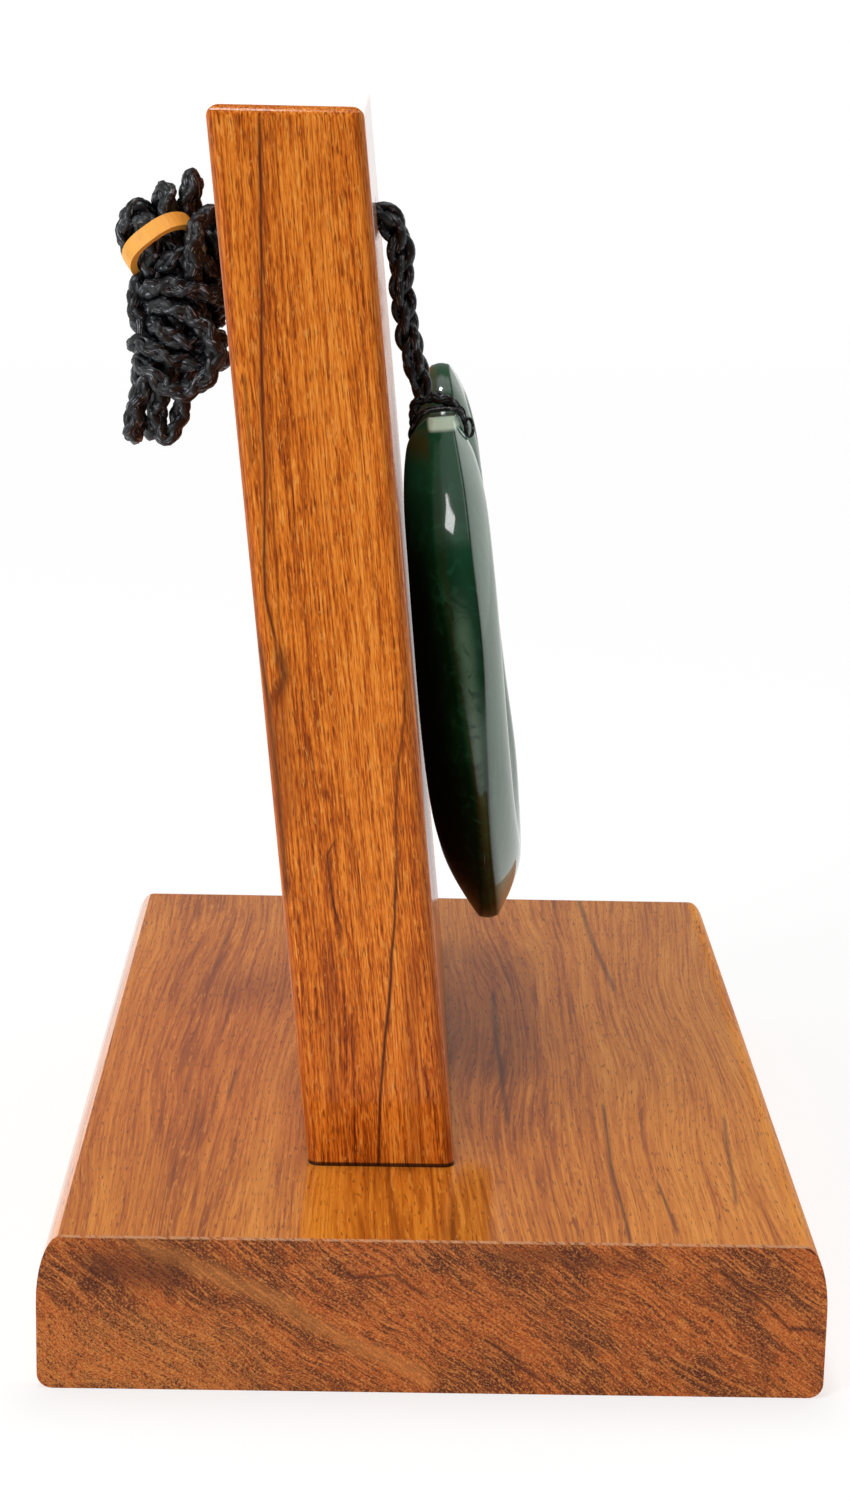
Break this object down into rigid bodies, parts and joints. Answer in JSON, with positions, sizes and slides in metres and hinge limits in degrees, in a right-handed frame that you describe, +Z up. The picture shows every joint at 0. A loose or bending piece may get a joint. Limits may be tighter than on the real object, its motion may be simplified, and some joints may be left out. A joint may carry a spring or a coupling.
{
  "type": "greenstone koru pendant on a wooden display stand",
  "caption": "Carved green stone spiral pendant on a braided black cord, hanging against a leaning wooden board on a wooden base, with the spare cord bundled behind.",
  "frame": {"origin": "centre of the base's underside, on the surface it stands on", "axes": "+Z up, +X the way the pendant faces, away from the board, +Y across the board"},
  "size_m": [0.077, 0.116, 0.1225],
  "materials": {
    "base_wood": "varnished, satin",
    "board_wood": "varnished, glossy",
    "greenstone": "polished",
    "black_cord": "waxed braid",
    "band_rubber": "matt"
  },
  "bodies": {
    "root": {"stand_base": "base_wood", "stand_board": "board_wood", "koru_pendant": "greenstone", "cord_lashing": "black_cord", "neck_cord": "black_cord", "cord_hank": "black_cord", "hank_band": "band_rubber"}
  },
  "joints": []
}
